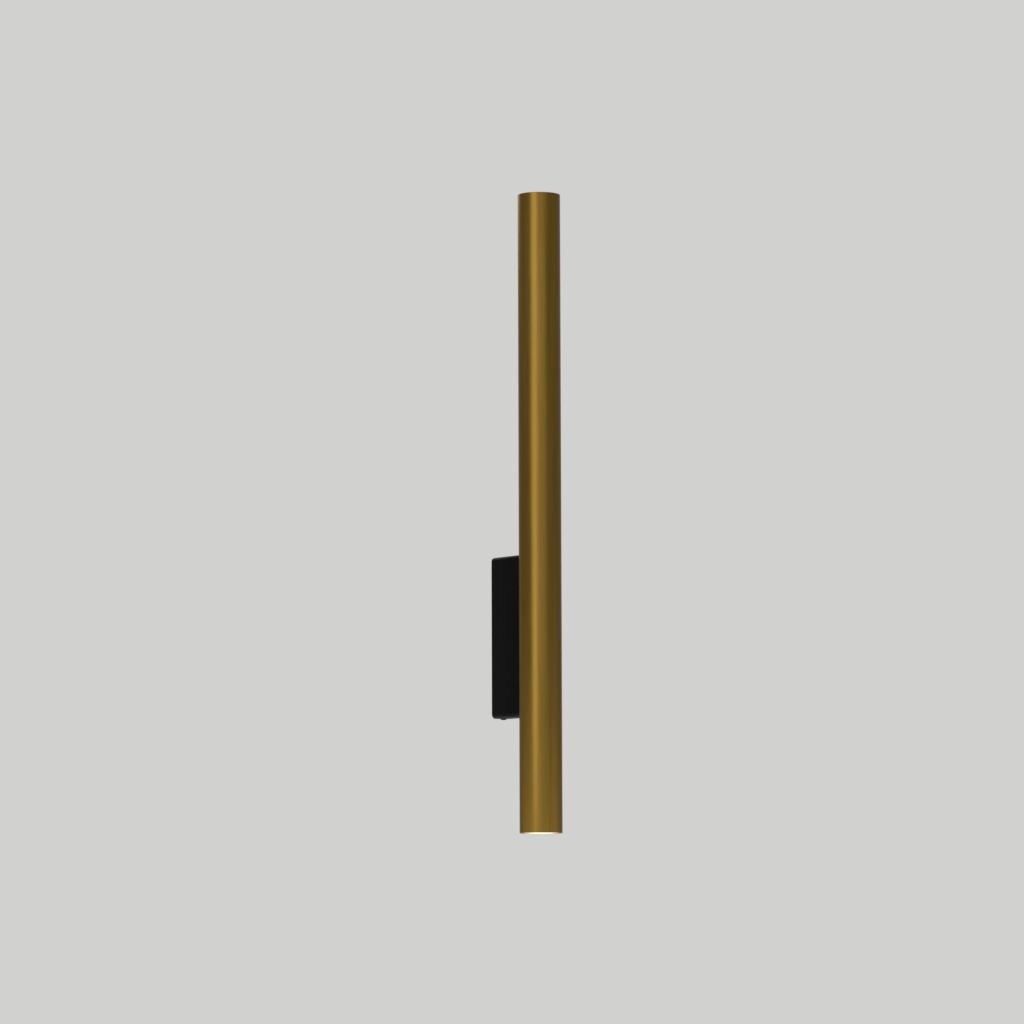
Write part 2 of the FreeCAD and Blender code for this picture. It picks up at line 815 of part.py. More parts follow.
def lamp_lens():
    """A frosted cap whose front fills the bore, and whose spigot snaps into the housing."""
    spigot = lamp_pocket - seat_gap
    spigot_end = -lamp_recess - lens_spigot
    outline = [
        (0, -lamp_recess, 0),
        (lens_spigot_bore / 2, -lamp_recess, 0),
        (lens_spigot_bore / 2, spigot_end, 0),
        (spigot, spigot_end, 0),
        (spigot, -lamp_recess, 0),
        (lens_radius, -lamp_recess, 0),
        (lens_radius, -lens_recess, lens_edge),
        (0, -lens_recess, 0),
    ]
    return [turned(outline)]


# Nodes


def both_ends(name, shapes):
    return {f"upper_{name}": at_end(shapes, True), f"lower_{name}": at_end(shapes, False)}


nodes = {
    "tube": [tube()],
    "wall_box": [wall_box()],
    "wall_bracket": [wall_bracket()],
    "cover_screws": cover_screw(),
    "cable_grommet": cable_grommet(),
    "terminal_block": terminal_block(),
    "terminal_inserts": terminal_inserts(),
    "terminal_screws": terminal_screws(),
    "terminal_fixing_screw": terminal_fixing_screw(),
    "earth_washer": earth_washer(),
    "earth_screw": earth_screw(),
    "lead_bush": lead_bush(),
    "tube_screws": tube_screws(),
    "nut_bar": nut_bar(),
    "upper_leads": leads(True),
    "lower_leads": leads(False),
    "carrier_screws": carrier_screws(),
    "socket_screws": at_end(socket_screws(), True) + at_end(socket_screws(), False),
}
nodes.update(both_ends("socket_carrier", socket_carrier()))
nodes.update(both_ends("socket_back", socket_back()))
nodes.update(both_ends("socket_body", socket_body()))
nodes.update(both_ends("socket_contacts", socket_contacts()))
nodes.update(both_ends("centring_ring", centring_ring()))
nodes.update(both_ends("lamp_shell", lamp_shell()))
nodes.update(both_ends("lamp_pins", lamp_pins()))
nodes.update(both_ends("led_board", led_board()))
nodes.update(both_ends("led_chips", led_chips()))
nodes.update(both_ends("lamp_lens", lamp_lens()))

os.makedirs("parts", exist_ok=True)
for name, shapes in nodes.items():
    solids = [solid for shape in shapes for solid in shape.Solids]
    body = solids[0] if len(solids) == 1 else Part.makeCompound(solids)
    body.exportStep(f"parts/{name}.step")
    print(f"{name}: {len(solids)} solids, {body.Volume / 1000:.3f} cm3")
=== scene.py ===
import json
import math

import bmesh
import bpy
from mathutils import Matrix, Vector


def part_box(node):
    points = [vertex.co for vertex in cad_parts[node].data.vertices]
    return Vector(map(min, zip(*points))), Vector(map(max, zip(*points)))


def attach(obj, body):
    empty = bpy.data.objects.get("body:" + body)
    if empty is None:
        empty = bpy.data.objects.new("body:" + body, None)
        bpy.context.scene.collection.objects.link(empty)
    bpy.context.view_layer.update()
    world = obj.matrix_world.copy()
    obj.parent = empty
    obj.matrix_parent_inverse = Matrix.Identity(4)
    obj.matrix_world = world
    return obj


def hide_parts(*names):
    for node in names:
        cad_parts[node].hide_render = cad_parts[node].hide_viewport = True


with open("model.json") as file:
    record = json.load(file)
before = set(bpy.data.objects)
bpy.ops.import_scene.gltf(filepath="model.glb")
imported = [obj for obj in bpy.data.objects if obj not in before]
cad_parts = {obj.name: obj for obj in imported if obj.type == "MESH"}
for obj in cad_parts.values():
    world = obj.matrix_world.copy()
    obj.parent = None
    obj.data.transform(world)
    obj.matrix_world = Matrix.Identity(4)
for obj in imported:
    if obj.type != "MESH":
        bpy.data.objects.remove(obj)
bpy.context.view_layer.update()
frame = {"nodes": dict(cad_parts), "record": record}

nodes = frame["nodes"]
axisOut = 0.060  # from the wall to the tube's axis
smoothAngle = math.radians(32)  # faces that meet at a smaller angle are shaded as one
lightCircle = 0.0079  # radius of the ring that a lamp's light sources stand on
lightCount = 3
lightAngles = [2 * math.pi * i / lightCount for i in range(lightCount)]
print("frame loaded:", len(nodes), "nodes")


# Materials. Every texture runs in object space, which is the row's own metres.

grainDetail = 3.0
patchDetail = 2.0
pebbleDetail = 1.0
noiseMiddle = (0.3, 0.7)  # the part of a noise's range that holds nearly all of it
toneRange = (0.35, 0.65)
plainLook = dict(
    metallic=0.0, ior=1.5, specular=0.5, anisotropy=0.0,
    stretch=(1, 1, 1), patchStretch=(1, 1, 1), patchShare=0.5)


def newMaterial(name):
    material = bpy.data.materials.new(name)
    material.use_nodes = True
    return material, material.node_tree.nodes, material.node_tree.links


def addNode(tree, kind, **settings):
    node = tree.new("ShaderNode" + kind)
    for key, value in settings.items():
        setattr(node, key, value)
    return node


def noiseField(tree, links, scale, stretch=(1, 1, 1), detail=grainDetail):
    # noise in object space, stretched by a scale for each axis
    place = addNode(tree, "TexCoord")
    mapping = addNode(tree, "Mapping")
    mapping.inputs["Scale"].default_value = stretch
    noise = addNode(tree, "TexNoise")
    noise.inputs["Scale"].default_value = scale
    noise.inputs["Detail"].default_value = detail
    links.new(place.outputs["Object"], mapping.inputs["Vector"])
    links.new(mapping.outputs["Vector"], noise.inputs["Vector"])
    return noise.outputs["Fac"]


def spread(tree, links, source, wanted, given=noiseMiddle):
    # a value brought from the range it has to the range that a socket needs
    ranged = addNode(tree, "MapRange")
    for key, value in zip(("From Min", "From Max", "To Min", "To Max"), (*given, *wanted)):
        ranged.inputs[key].default_value = value
    links.new(source, ranged.inputs["Value"])
    return ranged.outputs["Result"]


def twoTones(tree, links, source, look, ends=(0.0, 1.0)):
    # a colour from a look's dark tone to its light one
    tones = addNode(tree, "ValToRGB")
    for element, position, tone in zip(tones.color_ramp.elements, ends, ("dark", "light")):
        element.position = position
        element.color = (*look[tone], 1)
    links.new(source, tones.inputs["Fac"])
    return tones.outputs["Color"]


def addBump(tree, links, height, look, shader):
    bump = addNode(tree, "Bump")
    bump.inputs["Strength"].default_value = look["bump"]
    bump.inputs["Distance"].default_value = look["bumpHeight"]
    links.new(height, bump.inputs["Height"])
    links.new(bump.outputs["Normal"], shader.inputs["Normal"])


def makeFinish(name, ownLook):
    # two tones, a roughness range and a bump, from a fine grain and larger patches
    look = {**plainLook, **ownLook}
    material, tree, links = newMaterial(name)
    shader = tree["Principled BSDF"]
    shader.inputs["Metallic"].default_value = look["metallic"]
    shader.inputs["IOR"].default_value = look["ior"]
    shader.inputs["Specular IOR Level"].default_value = look["specular"]
    shader.inputs["Anisotropic"].default_value = look["anisotropy"]
    grain = noiseField(tree, links, look["grain"], look["stretch"])
    patches = noiseField(tree, links, look["patch"], look["patchStretch"], patchDetail)
    mixed = addNode(tree, "Mix", data_type="FLOAT")
    mixed.inputs["Factor"].default_value = look["patchShare"]
    links.new(grain, mixed.inputs["A"])
    links.new(patches, mixed.inputs["B"])
    blend = mixed.outputs["Result"]
    links.new(twoTones(tree, links, blend, look, toneRange), shader.inputs["Base Color"])
    links.new(spread(tree, links, blend, look["rough"]), shader.inputs["Roughness"])
    addBump(tree, links, grain, look, shader)
    return material


finishLooks = {
    "satin_brass": dict(
        dark=(0.33, 0.195, 0.034), light=(0.43, 0.262, 0.052), metallic=1.0, rough=(0.27, 0.35),
        anisotropy=0.35, grain=1.0, stretch=(3600, 3600, 30), patch=1.0, patchStretch=(170, 170, 5),
        patchShare=0.45, bump=0.12, bumpHeight=0.00002),
    "black_metal": dict(
        dark=(0.0022, 0.0022, 0.0026), light=(0.0042, 0.0042, 0.0047), rough=(0.42, 0.56), specular=0.12,
        grain=2400.0, patch=90.0, patchShare=0.4, bump=0.32, bumpHeight=0.00004),
    "steel": dict(
        dark=(0.42, 0.43, 0.44), light=(0.62, 0.63, 0.63), metallic=1.0, rough=(0.26, 0.44),
        grain=900.0, stretch=(1, 1, 0.12), patch=130.0, patchShare=0.6, bump=0.10, bumpHeight=0.00003),
    "black_screw": dict(
        dark=(0.010, 0.010, 0.011), light=(0.030, 0.030, 0.031), metallic=0.7, rough=(0.32, 0.48),
        grain=3000.0, patch=300.0, bump=0.15, bumpHeight=0.00002),
    "plain_brass": dict(
        dark=(0.58, 0.39, 0.12), light=(0.74, 0.54, 0.22), metallic=1.0, rough=(0.22, 0.38),
        grain=2500.0, stretch=(1, 0.2, 1), patch=220.0, bump=0.12, bumpHeight=0.00002),
    "aluminium": dict(
        dark=(0.56, 0.57, 0.58), light=(0.70, 0.70, 0.71), metallic=1.0, rough=(0.28, 0.40),
        grain=3500.0, stretch=(0.08, 0.08, 1), patch=150.0, bump=0.15, bumpHeight=0.00002),
    "black_rubber": dict(
        dark=(0.012, 0.012, 0.012), light=(0.024, 0.024, 0.023), rough=(0.62, 0.80), specular=0.35,
        grain=1800.0, patch=160.0, bump=0.35, bumpHeight=0.00006),
    "black_plastic": dict(
        dark=(0.011, 0.011, 0.011), light=(0.020, 0.020, 0.020), rough=(0.42, 0.56),
        grain=2600.0, patch=140.0, bump=0.25, bumpHeight=0.00003),
    "white_nylon": dict(
        dark=(0.66, 0.66, 0.61), light=(0.76, 0.76, 0.72), rough=(0.42, 0.54),
        grain=1500.0, patch=120.0, bump=0.2, bumpHeight=0.00004),
    "lead_sleeve": dict(
        dark=(0.60, 0.58, 0.50), light=(0.70, 0.68, 0.60), rough=(0.45, 0.60),
        grain=1600.0, patch=180.0, bump=0.2, bumpHeight=0.00004),
    "socket_ceramic": dict(
        dark=(0.70, 0.67, 0.58), light=(0.82, 0.79, 0.71), rough=(0.50, 0.70),
        grain=2200.0, patch=200.0, bump=0.4, bumpHeight=0.00006),
    "lamp_housing": dict(
        dark=(0.58, 0.58, 0.57), light=(0.66, 0.66, 0.65), rough=(0.40, 0.52),
        grain=2200.0, patch=120.0, bump=0.25, bumpHeight=0.00003),
    "nickel": dict(
        dark=(0.52, 0.50, 0.45), light=(0.66, 0.64, 0.58), metallic=1.0, rough=(0.16, 0.30),
        grain=1800.0, patch=300.0, bump=0.08, bumpHeight=0.00002),
    "circuit_board": dict(
        dark=(0.70, 0.71, 0.70), light=(0.82, 0.83, 0.82), rough=(0.30, 0.42),
        grain=700.0, patch=260.0, bump=0.2, bumpHeight=0.00003),
}
finishes = {slotName: makeFinish(slotName, look) for slotName, look in finishLooks.items()}


# The phosphor of a light source: yellow when it is off, bright when it is on

phosphorLook = dict(
    dark=(0.80, 0.62, 0.16), light=(0.92, 0.78, 0.30), speckle=4000.0, roughness=0.5,
    shine=(1.0, 0.86, 0.62), strength=14.0)


def makePhosphor(name, look):
    material, tree, links = newMaterial(name)
    shader = tree["Principled BSDF"]
    speckle = noiseField(tree, links, look["speckle"])
    links.new(twoTones(tree, links, speckle, look), shader.inputs["Base Color"])
    shader.inputs["Roughness"].default_value = look["roughness"]
    shader.inputs["Emission Color"].default_value = (*look["shine"], 1)
    shader.inputs["Emission Strength"].default_value = look["strength"]
    return material


# The lamps' caps: frosted plastic with a fine pebbled face, brightest over the light sources. dark and
# light are the glow's colours at the edge and over a source, and strength is the range of its power.

lensLook = dict(
    tint=(0.50, 0.48, 0.43), clear=0.2, ior=1.49, pebbles=2200.0, rough=(0.35, 0.55),
    bump=0.3, bumpHeight=0.00005, dark=(1.0, 0.79, 0.50), light=(1.0, 0.93, 0.76), strength=(0.95, 1.35),
    wideReach=0.021, wideShare=0.55, sourceReach=0.0075, sourceShare=0.55)


def placeOnCap(tree, links):
    # where a point lies on its cap, from the lamp's axis; the lower lamp is the upper one half turned
    place = addNode(tree, "TexCoord")
    apart = addNode(tree, "SeparateXYZ")
    side = addNode(tree, "Math", operation="SIGN")
    across = addNode(tree, "Math", operation="MULTIPLY")
    out = addNode(tree, "Math", operation="ADD")
    out.inputs[1].default_value = axisOut
    flat = addNode(tree, "CombineXYZ")
    links.new(place.outputs["Object"], apart.inputs[0])
    links.new(apart.outputs["Z"], side.inputs[0])
    links.new(apart.outputs["X"], across.inputs[0])
    links.new(side.outputs[0], across.inputs[1])
    links.new(apart.outputs["Y"], out.inputs[0])
    links.new(across.outputs[0], flat.inputs["X"])
    links.new(out.outputs[0], flat.inputs["Y"])
    return flat.outputs["Vector"]


def softSpots(tree, links, place, spots):
    # the sum of soft round spots; each is (x, y, reach, share), and its share is its value in the middle
    total = None
    for x, y, reach, share in spots:
        near = addNode(tree, "VectorMath", operation="DISTANCE")
        near.inputs[1].default_value = (x, y, 0)
        links.new(place, near.inputs[0])
        spot = spread(tree, links, near.outputs["Value"], (share, 0), (0, reach))
        spot.node.interpolation_type = "SMOOTHSTEP"
        if total is None:
            total = spot
            continue
        added = addNode(tree, "Math", operation="ADD")
        links.new(total, added.inputs[0])
        links.new(spot, added.inputs[1])
        total = added.outputs[0]
    return total


def makeLens(name, look):
    material, tree, links = newMaterial(name)
    shader = tree["Principled BSDF"]
    shader.inputs["Base Color"].default_value = (*look["tint"], 1)
    shader.inputs["Transmission Weight"].default_value = look["clear"]
    shader.inputs["IOR"].default_value = look["ior"]
    spots = [(0, 0, look["wideReach"], look["wideShare"])]
    for angle in lightAngles:
        x, y = lightCircle * math.cos(angle), lightCircle * math.sin(angle)
        spots.append((x, y, look["sourceReach"], look["sourceShare"]))
    glow = softSpots(tree, links, placeOnCap(tree, links), spots)
    links.new(twoTones(tree, links, glow, look), shader.inputs["Emission Color"])
    links.new(spread(tree, links, glow, look["strength"], (0, 1)), shader.inputs["Emission Strength"])
    pebbles = noiseField(tree, links, look["pebbles"], detail=pebbleDetail)
    links.new(spread(tree, links, pebbles, look["rough"]), shader.inputs["Roughness"])
    addBump(tree, links, pebbles, look, shader)
    return material


finishes["light_source"] = makePhosphor("light_source", phosphorLook)
finishes["frosted_lens"] = makeLens("frosted_lens", lensLook)
print("finishes made:", len(finishes))


def dress(mesh, slotName):
    mesh.materials.clear()
    mesh.materials.append(finishes[slotName])
    mesh.shade_smooth()
    mesh.set_sharp_from_angle(angle=smoothAngle)


for part in frame["record"]["subparts"]:
    dress(nodes[part["node"]].data, part["material_slot"])
print("frame nodes dressed")


# Mesh helpers

def addObject(name, data):
    thing = bpy.data.objects.new(name, data)
    bpy.context.scene.collection.objects.link(thing)
    return thing


def meshFrom(bm):
    mesh = bpy.data.meshes.new("mesh")
    bm.to_mesh(mesh)
    bm.free()
    return mesh


def standing(point, way):
    # the place of something made along Z that stands on a point and points a given way
    return Matrix.Translation(point) @ Vector(way).to_track_quat("Z", "Y").to_matrix().to_4x4()


def roundedCorner(middle, radius, startAngle, endAngle, steps):
    # points of an arc in the profile's plane, angles in degrees
    points = []
    for i in range(steps + 1):
        a = math.radians(startAngle + (endAngle - startAngle) * i / steps)
        points.append((middle[0] + radius * math.cos(a), middle[1] + radius * math.sin(a)))
    return points


def lathe(profile, segments):
    # turns a closed profile of (radius, height) about Z; a radius of 0 makes a pole
    bm = bmesh.new()
    turn = [2 * math.pi * i / segments for i in range(segments)]
    rings = []
    for radius, height in profile:
        if radius == 0:
            rings.append([bm.verts.new((0, 0, height))])
        else:
            rings.append([bm.verts.new((radius * math.cos(a), radius * math.sin(a), height)) for a in turn])
    for low, high in zip(rings, rings[1:] + rings[:1]):
        if len(low) == 1 and len(high) == 1:
            continue
        for i in range(segments):
            j = (i + 1) % segments
            corners = [low[i % len(low)], low[j % len(low)], high[j % len(high)], high[i % len(high)]]
            bm.faces.new(list(dict.fromkeys(corners)))
    bmesh.ops.recalc_face_normals(bm, faces=bm.faces)
    return meshFrom(bm)


def rodMesh(radius, start, end, segments):
    # a plain bar between two points, used as a cutter
    along = Vector(end) - Vector(start)
    mesh = lathe([(0, 0), (radius, 0), (radius, along.length), (0, along.length)], segments)
    mesh.transform(standing(start, along))
    return mesh


def blockMesh(low, high):
    # a plain block between two corners, used as a cutter
    bm = bmesh.new()
    middle, size = (Vector(low) + Vector(high)) / 2, Vector(high) - Vector(low)
    bmesh.ops.create_cube(bm, size=1, matrix=Matrix.Translation(middle) @ Matrix.Diagonal((*size, 1)))
    return meshFrom(bm)


def roundedPlate(halfWidth, halfHeight, corner, near, far, steps):
    # an upright block with rounded corners, between two distances from the wall
    outline = []
    for x, z, start in ((1, 1, 0), (-1, 1, 90), (-1, -1, 180), (1, -1, 270)):
        middle = (x * (halfWidth - corner), z * (halfHeight - corner))
        outline += roundedCorner(middle, corner, start, start + 90, steps)
    bm = bmesh.new()
    front = [bm.verts.new((x, -far, z)) for x, z in outline]
    back = [bm.verts.new((x, -near, z)) for x, z in outline]
    bm.faces.new(front)
    bm.faces.new(back[::-1])
    for i in range(len(outline)):
        j = (i + 1) % len(outline)
        bm.faces.new((front[j], front[i], back[i], back[j]))
    bmesh.ops.recalc_face_normals(bm, faces=bm.faces)
    return meshFrom(bm)


def evaluated(work):
    # the mesh that an object's modifiers give
    bpy.context.view_layer.update()
    return bpy.data.meshes.new_from_object(work.evaluated_get(bpy.context.evaluated_depsgraph_get()))


def carved(mesh, cutters):
    # a new mesh, with the cutters cut out of the given one
    work = addObject("work", mesh)
    helpers = []
    for cutter in cutters:
        step = work.modifiers.new("cut", "BOOLEAN")
        step.operation = "DIFFERENCE"
        step.solver = "EXACT"
        step.object = addObject("cutter", cutter)
        helpers.append(step.object)
    result = evaluated(work)
    for item in helpers + [work]:
        bpy.data.objects.remove(item)
    return result


def softened(mesh, width, steps, sharpAngle):
    # a new mesh with its sharp edges rounded a little, as a press or a coat of paint leaves them
    work = addObject("work", mesh)
    step = work.modifiers.new("soften", "BEVEL")
    step.width = width
    step.segments = steps
    step.limit_method = "ANGLE"
    step.angle_limit = sharpAngle
    step.use_clamp_overlap = True
    step.miter_outer = "MITER_ARC"
    result = evaluated(work)
    bpy.data.objects.remove(work)
    return result


def placePiece(name, mesh, slotName, body, replaced):
    mesh.name = name
    dress(mesh, slotName)
    piece = addObject(name, mesh)
    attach(piece, body)
    if replaced:
        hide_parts(*replaced)


# Tube

tubeLook = dict(
    radius=0.020, bore=0.01875, rimRound=0.0003, rimSteps=3, segments=192,
    screwHole=0.0022, bushHole=0.0053, screwHeight=0.045, carrierHole=0.0017,
    cutterStart=0.6, cutterSegments=48)
tubeLow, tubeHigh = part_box("tube")
screwHeadRadius = 0.002625  # the carrier screws' heads reach this far past their axes
carrierLow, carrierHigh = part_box("carrier_screws")
carrierHeights = (carrierHigh.z - screwHeadRadius, carrierLow.z + screwHeadRadius)


def buildTube(look):
    # the holes go through the wall side alone, so their cutters start in the bore, at a share of its radius
    inner, r, steps = look["bore"], look["rimRound"], look["rimSteps"]
    side = look["radius"] - r
    profile = [(inner, tubeLow.z)]
    profile += roundedCorner((side, tubeLow.z + r), r, -90, 0, steps)
    profile += roundedCorner((side, tubeHigh.z - r), r, 0, 90, steps)
    profile += [(inner, tubeHigh.z)]
    mesh = lathe(profile, look["segments"])
    mesh.transform(Matrix.Translation((0, -axisOut, 0)))
    holes = [(look["screwHole"], -look["screwHeight"]), (look["screwHole"], look["screwHeight"])]
    holes += [(look["carrierHole"], height) for height in carrierHeights]
    holes += [(look["bushHole"], 0)]
    start = inner * look["cutterStart"] - axisOut
    cutters = []
    for radius, height in holes:
        cutters.append(rodMesh(radius, (0, start, height), (0, 0, height), look["cutterSegments"]))
    placePiece("tubeShell", carved(mesh, cutters), "satin_brass", "fixture", ["tube"])


buildTube(tubeLook)
print("tube built")


# Wall box. holeNear and holeFar are where the cutters of the holes towards the tube start and stop, and
# the hook names are those of the blind groove in the top wall that hangs on the bracket's hook.

boxLook = dict(
    corner=0.004, cornerSteps=12, wall=0.0015, front=0.0375, cavitySteps=8, cavityStart=-0.002,
    edge=0.00045, edgeSteps=3, edgeAngle=math.radians(35), seat=0.02005, seatHalf=0.1, seatSegments=256,
    tubeHole=0.0022, bushHole=0.0053, holeNear=0.03, holeFar=0.05, holeSegments=32, bushSegments=48,
    coverHole=0.0017, coverOut=0.005, coverCut=0.004,
    hookHalf=0.0063, hookNear=0.0082, hookFar=0.0103, hookWall=0.0006, hookOverlap=0.001)
boxLow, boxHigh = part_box("wall_box")


def boxHoles(look):
    holes = [(look["tubeHole"], side * tubeLook["screwHeight"], look["holeSegments"]) for side in (-1, 1)]
    holes.append((look["bushHole"], 0, look["bushSegments"]))
    cutters = []
    for radius, z, segments in holes:
        cutters.append(rodMesh(radius, (0, -look["holeNear"], z), (0, -look["holeFar"], z), segments))
    out, cut = -look["coverOut"], look["coverCut"]
    below, above = (0, out, boxLow.z - cut), (0, out, boxLow.z + cut)
    cutters.append(rodMesh(look["coverHole"], below, above, look["holeSegments"]))
    return cutters


def hookGroove(look):
    bottom = boxHigh.z - look["wall"] - look["hookOverlap"]
    low = (-look["hookHalf"], -look["hookFar"], bottom)
    high = (look["hookHalf"], -look["hookNear"], boxHigh.z - look["hookWall"])
    return blockMesh(low, high)


def buildBox(look):
    wall, half = look["wall"], look["seatHalf"]
    block = roundedPlate(boxHigh.x, boxHigh.z, look["corner"], 0, axisOut, look["cornerSteps"])
    saddle = rodMesh(look["seat"], (0, -axisOut, -half), (0, -axisOut, half), look["seatSegments"])
    shell = softened(carved(block, [saddle]), look["edge"], look["edgeSteps"], look["edgeAngle"])
    cavity = roundedPlate(
        boxHigh.x - wall, boxHigh.z - wall, look["corner"] - wall,
        look["cavityStart"], look["front"], look["cavitySteps"])
    mesh = carved(shell, [cavity, *boxHoles(look), hookGroove(look)])
    placePiece("boxShell", mesh, "black_metal", "fixture", ["wall_box"])


buildBox(boxLook)
print("wall box built")


# Screws that show: one under the box, two on the tube's wall side

screwLook = dict(
    thread=0.00145, head=screwHeadRadius, height=0.00105, chamfer=0.00025, segments=48,
    keyAcross=0.0018, keyDepth=0.000735, keyPast=0.001,
    coverLength=0.0043, carrierLength=0.0045, carrierSeat=0.03995)


def screwMesh(look, length):
    # a low head with a chamfered rim and a hexagon recess; the head's underside is at the origin
    thread, head, top, c = look["thread"], look["head"], look["height"], look["chamfer"]
    mesh = lathe([
        (0, -length), (thread - c, -length), (thread, -length + c), (thread, 0),
        (head, 0), (head, top - c), (head - c, top), (0, top)], look["segments"])
    keyRadius = look["keyAcross"] / 2 / math.cos(math.pi / 6)
    key = rodMesh(keyRadius, (0, 0, top - look["keyDepth"]), (0, 0, top + look["keyPast"]), 6)
    return carved(mesh, [key])


def placeScrews(name, seats, facing, length, replaced):
    # seats are the points under the heads, and facing is the way the heads point
    bm = bmesh.new()
    for seat in seats:
        mesh = screwMesh(screwLook, length)
        mesh.transform(standing(seat, facing))
        bm.from_mesh(mesh)
    placePiece(name, meshFrom(bm), "black_screw", "fixture", replaced)


coverSeats = [(0, -boxLook["coverOut"], boxLow.z)]
carrierSeats = [(0, -screwLook["carrierSeat"], height) for height in carrierHeights]
placeScrews("coverScrew", coverSeats, (0, 0, -1), screwLook["coverLength"], ["cover_screws"])
placeScrews("carrierScrewSet", carrierSeats, (0, 1, 0), screwLook["carrierLength"], ["carrier_screws"])
print("screws built")


# Lamp ends. Each is made with the tube's rim at z = 0 and depths below it, then put at its end of the tube.

lensShape = dict(
    flange=0.0015, edge=0.0004, edgeTurn=75, edgeSteps=5, crown=0.0008, crownSteps=8, rise=0.0005,
    spigot=0.01625, spigotBore=0.0145, segments=128)
chipShape = dict(
    half=0.00175, height=0.0007, edge=0.00015, edgeSteps=2, domeRadius=0.00145, domeHeight=0.00045,
    domeSteps=6, segments=32)


def endPlace(end):
    if end == "upper":
        return Matrix.Translation((0, -axisOut, tubeHigh.z))
    return Matrix.Translation((0, -axisOut, tubeLow.z)) @ Matrix.Rotation(math.pi, 4, "Y")


def endDepths(end, name):
    # where a node of an end starts and stops, from the deepest to the outermost
    low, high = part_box(end + "_" + name)
    if end == "upper":
        return low.z - tubeHigh.z, high.z - tubeHigh.z
    return tubeLow.z - high.z, tubeLow.z - low.z


def buildLens(look, end):
    # a cap that fills the bore, a little crowned, with a rounded edge and a hollow spigot
    low, high = endDepths(end, "lamp_lens")
    nodeLow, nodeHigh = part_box(end + "_lamp_lens")
    radius, edge, crown = (nodeHigh.x - nodeLow.x) / 2, look["edge"], look["crown"]
    flangeBack, top = high - look["flange"], high + look["rise"]
    profile = [
        (0, flangeBack), (look["spigotBore"], flangeBack), (look["spigotBore"], low), (look["spigot"], low),
        (look["spigot"], flangeBack), (radius, flangeBack)]
    corner = (radius - edge, top - crown - edge)
    profile += roundedCorner(corner, edge, 0, look["edgeTurn"], look["edgeSteps"])
    for i in range(look["crownSteps"], -1, -1):
        share = i / look["crownSteps"]
        profile.append(((radius - edge) * share, top - crown * share ** 2))
    mesh = lathe(profile, look["segments"])
    mesh.transform(endPlace(end))
    placePiece(end + "Lens", mesh, "frosted_lens", end + "_lamp", [end + "_lamp_lens"])


def chipBody(look):
    bm = bmesh.new()
    across = 2 * look["half"]
    bmesh.ops.create_cube(bm, size=1, matrix=Matrix.Diagonal((across, across, look["height"], 1)))
    bmesh.ops.bevel(bm, geom=bm.edges[:], offset=look["edge"], segments=look["edgeSteps"], affect="EDGES")
    mesh = meshFrom(bm)
    mesh.transform(Matrix.Translation((0, 0, look["height"] / 2)))
    return mesh


def chipDome(look):
    profile = [(0, 0)]
    for i in range(look["domeSteps"]):
        a = math.pi / 2 * i / look["domeSteps"]
        profile.append((look["domeRadius"] * math.cos(a), look["domeHeight"] * math.sin(a)))
    profile.append((0, look["domeHeight"]))
    mesh = lathe(profile, look["segments"])
    mesh.transform(Matrix.Translation((0, 0, look["height"])))
    return mesh


def buildChips(look, end):
    # a white package with a domed phosphor on it, for each light source
    boardTop = endDepths(end, "led_board")[1]
    for name, shape, slotName, replaced in (
            ("ChipBodies", chipBody, "circuit_board", []),
            ("ChipDomes", chipDome, "light_source", [end + "_led_chips"])):
        bm = bmesh.new()
        for angle in lightAngles:
            mesh = shape(look)
            mesh.transform(Matrix.Rotation(angle, 4, "Z") @ Matrix.Translation((lightCircle, 0, boardTop)))
            bm.from_mesh(mesh)
        mesh = meshFrom(bm)
        mesh.transform(endPlace(end))
        placePiece(end + name, mesh, slotName, end + "_lamp", replaced)


for end in ("upper", "lower"):
    buildLens(lensShape, end)
    buildChips(chipShape, end)
print("lamp ends built")


# Studio: a pale floor far under the light, a pale world and soft lamps. The floor's lift brings what is
# seen of it near the backdrop's tone. Metal sees the backdrop round paleWay and a dimmer room elsewhere.

floorLook = dict(
    height=-2.6, half=16.0, squares=8, patch=3.0, roughness=0.85, lift=0.27,
    dark=(0.66, 0.655, 0.64), light=(0.72, 0.715, 0.70))
worldLook = dict(
    backdrop=(0.64, 0.64, 0.63), roomSide=(0.20, 0.20, 0.20), paleWay=(0.628, 0.771, 0.0987),
    paleFrom=0.82, paleTo=0.985, roomLight=(1.0, 0.99, 0.97), roomStrength=0.50)
lampTarget = (0, -0.05, 0.115)
white = (1.0, 1.0, 1.0)
coolWhite = (0.95, 0.98, 1.0)
softLamps = {
    "keyLamp": dict(place=(-1.775, -0.736, 0.55), width=0.95, height=2.4, power=7.6, colour=coolWhite),
    "frontLamp": dict(place=(-1.29, -1.97, 0.75), width=2.4, height=2.2, power=5.0, colour=white),
    "backLamp": dict(place=(0.6, 2.1, 1.7), width=1.6, height=1.6, power=10.0, colour=white),
    "topLamp": dict(place=(0.1, -0.5, 2.7), width=1.6, height=1.6, power=16.0, colour=white),
}


def seenRay(tree, links):
    # 1 for the rays that show the background: to the camera, off metal and through glass
    rays = addNode(tree, "LightPath")
    first = addNode(tree, "Math", operation="MAXIMUM")
    either = addNode(tree, "Math", operation="MAXIMUM")
    links.new(rays.outputs["Is Camera Ray"], first.inputs[0])
    links.new(rays.outputs["Is Glossy Ray"], first.inputs[1])
    links.new(first.outputs[0], either.inputs[0])
    links.new(rays.outputs["Is Transmission Ray"], either.inputs[1])
    return either.outputs[0]


